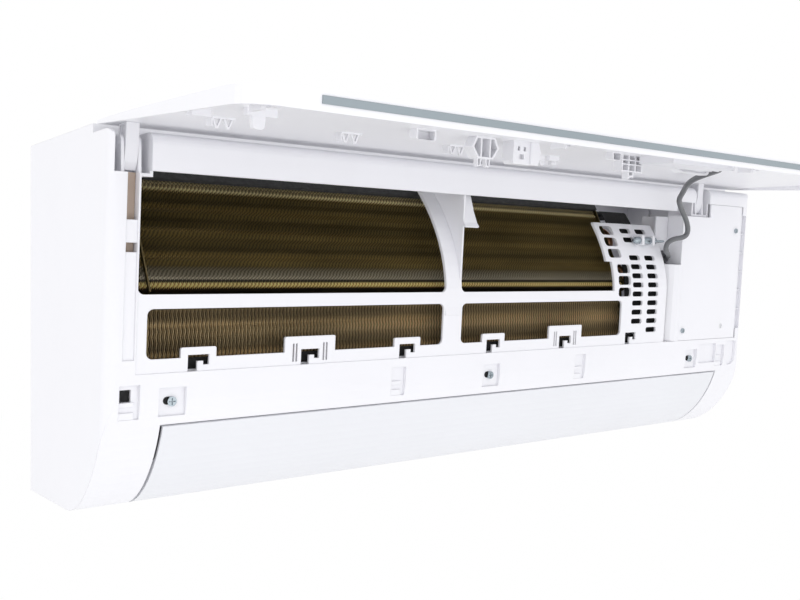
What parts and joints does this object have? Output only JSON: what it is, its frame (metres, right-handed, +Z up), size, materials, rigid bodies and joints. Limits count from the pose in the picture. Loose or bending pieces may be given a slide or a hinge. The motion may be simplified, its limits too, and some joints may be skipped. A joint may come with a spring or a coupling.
{
  "type": "indoor air conditioner unit",
  "caption": "Wall-mounted indoor air conditioner unit with its front panel raised, showing the golden coil behind a white grid frame, a slotted guard and a closed rounded air louver.",
  "frame": {"origin": "centre of the wall plate's back face, on the wall", "axes": "+X along the wall to the right as seen from the room, +Y into the wall, +Z up"},
  "size_m": [0.82, 0.3922, 0.301],
  "materials": {
    "casing_white": "fine satin moulded plastic",
    "panel_white": "glossy moulded plastic",
    "inner_white": "plain moulded plastic",
    "cover_white": "smooth moulded plastic",
    "trim_silver": "satin silver-grey trim",
    "fins_gold": "golden coated fins",
    "copper": "bare copper tube",
    "nut_brass": "machined brass",
    "plate_steel": "galvanised sheet",
    "screw_steel": "plated steel",
    "foam_black": "black foam strip",
    "rubber_grey": "grey rubber",
    "hose_grey": "ribbed soft plastic",
    "fan_black": "black glass-filled plastic",
    "motor_grey": "painted motor case",
    "board_green": "circuit board",
    "parts_dark": "board parts",
    "lead_grey": "grey sheathed lead",
    "button_grey": "grey button"
  },
  "bodies": {
    "unit": {"wall_plate": "plate_steel", "rear_casing": "inner_white", "front_frame": "casing_white", "outlet_duct": "inner_white", "drain_pan": "inner_white", "drain_hose": "hose_grey", "drain_plug": "rubber_grey", "coil_fins_lower": "fins_gold", "coil_fins_upper": "fins_gold", "coil_fins_rear": "fins_gold", "coil_tubes": "copper", "coil_end_left": "plate_steel", "coil_end_right": "plate_steel", "coil_seal": "foam_black", "gas_pipe": "copper", "liquid_pipe": "copper", "flare_nuts": "nut_brass", "pipe_clamp": "inner_white", "fan_bearing": "rubber_grey", "motor_bracket": "inner_white", "fan_motor": "motor_grey", "electric_box": "inner_white", "electric_cover": "cover_white", "control_board": "board_green", "board_parts": "parts_dark", "terminal_block": "parts_dark", "room_sensor": "screw_steel", "sensor_clip": "inner_white", "display_lead": "lead_grey", "louver_motor": "motor_grey", "vane_motor": "motor_grey", "frame_screws": "screw_steel", "cover_screws": "screw_steel", "cable_gland": "rubber_grey"},
    "panel": {"panel_shell": "panel_white", "panel_strip": "trim_silver", "hinge_arm_left": "inner_white", "hinge_arm_right": "inner_white", "panel_clips": "panel_white", "display_box": "inner_white", "display_board": "board_green", "lead_clip": "inner_white"},
    "louver": {"louver_skin": "panel_white", "louver_arms": "inner_white"},
    "fan": {"fan_wheel": "fan_black", "fan_shaft": "screw_steel"},
    "vane_1": {"vane_1": "inner_white"},
    "vane_2": {"vane_2": "inner_white"},
    "vane_3": {"vane_3": "inner_white"},
    "vane_4": {"vane_4": "inner_white"},
    "vane_5": {"vane_5": "inner_white"},
    "vane_6": {"vane_6": "inner_white"},
    "vane_7": {"vane_7": "inner_white"},
    "vane_8": {"vane_8": "inner_white"},
    "vane_rod": {"vane_rod": "inner_white"},
    "vane_crank": {"vane_crank": "inner_white"},
    "auto_button": {"auto_button": "button_grey"}
  },
  "joints": [
    {"name": "panel_hinge", "type": "hinge", "parent": "unit", "child": "panel", "pos_m": [0, -0.17785, 0.134], "axis": [1, 0, 0], "range_deg": [0, 90], "deforming": ["display_lead"]},
    {"name": "louver_hinge", "type": "hinge", "parent": "unit", "child": "louver", "pos_m": [0, -0.115, -0.122], "axis": [1, 0, 0], "range_deg": [0, 95]},
    {"name": "fan_spin", "type": "hinge", "parent": "unit", "child": "fan", "pos_m": [0, -0.088, -0.025], "axis": [1, 0, 0], "continuous": true},
    {"name": "vane_1_turn", "type": "hinge", "parent": "unit", "child": "vane_1", "pos_m": [-0.33, -0.14478, -0.06329], "axis": [0, 0.6286, -0.7777], "range_deg": [-40, 40]},
    {"name": "vane_2_turn", "type": "hinge", "parent": "unit", "child": "vane_2", "pos_m": [-0.248, -0.14478, -0.06329], "axis": [0, 0.6286, -0.7777], "range_deg": [-40, 40]},
    {"name": "vane_3_turn", "type": "hinge", "parent": "unit", "child": "vane_3", "pos_m": [-0.166, -0.14478, -0.06329], "axis": [0, 0.6286, -0.7777], "range_deg": [-40, 40]},
    {"name": "vane_4_turn", "type": "hinge", "parent": "unit", "child": "vane_4", "pos_m": [-0.084, -0.14478, -0.06329], "axis": [0, 0.6286, -0.7777], "range_deg": [-40, 40]},
    {"name": "vane_5_turn", "type": "hinge", "parent": "unit", "child": "vane_5", "pos_m": [-0.002, -0.14478, -0.06329], "axis": [0, 0.6286, -0.7777], "range_deg": [-40, 40]},
    {"name": "vane_6_turn", "type": "hinge", "parent": "unit", "child": "vane_6", "pos_m": [0.08, -0.14478, -0.06329], "axis": [0, 0.6286, -0.7777], "range_deg": [-40, 40]},
    {"name": "vane_7_turn", "type": "hinge", "parent": "unit", "child": "vane_7", "pos_m": [0.162, -0.14478, -0.06329], "axis": [0, 0.6286, -0.7777], "range_deg": [-40, 40]},
    {"name": "vane_8_turn", "type": "hinge", "parent": "unit", "child": "vane_8", "pos_m": [0.244, -0.14478, -0.06329], "axis": [0, 0.6286, -0.7777], "range_deg": [-40, 40]},
    {"name": "vane_rod_pivot", "type": "hinge", "parent": "vane_1", "child": "vane_rod", "pos_m": [-0.33, -0.12698, -0.10599], "axis": [0, 0.6286, -0.7777], "range_deg": [-40, 40]},
    {"name": "vane_crank_turn", "type": "hinge", "parent": "unit", "child": "vane_crank", "pos_m": [0.326, -0.14478, -0.06329], "axis": [0, 0.6286, -0.7777], "range_deg": [-40, 40]},
    {"name": "auto_button_press", "type": "slide", "parent": "unit", "child": "auto_button", "axis": [0, 0.9969, 0.0785], "range_m": [0, 0.001], "stiffness_N_per_m": 400, "springref_m": -0.0005}
  ],
  "couplings": [
    {"joint": "vane_2_turn", "follows": "vane_1_turn", "ratio": 1},
    {"joint": "vane_3_turn", "follows": "vane_1_turn", "ratio": 1},
    {"joint": "vane_4_turn", "follows": "vane_1_turn", "ratio": 1},
    {"joint": "vane_5_turn", "follows": "vane_1_turn", "ratio": 1},
    {"joint": "vane_6_turn", "follows": "vane_1_turn", "ratio": 1},
    {"joint": "vane_7_turn", "follows": "vane_1_turn", "ratio": 1},
    {"joint": "vane_8_turn", "follows": "vane_1_turn", "ratio": 1},
    {"joint": "vane_rod_pivot", "follows": "vane_1_turn", "ratio": -1},
    {"joint": "vane_crank_turn", "follows": "vane_1_turn", "ratio": 1}
  ]
}
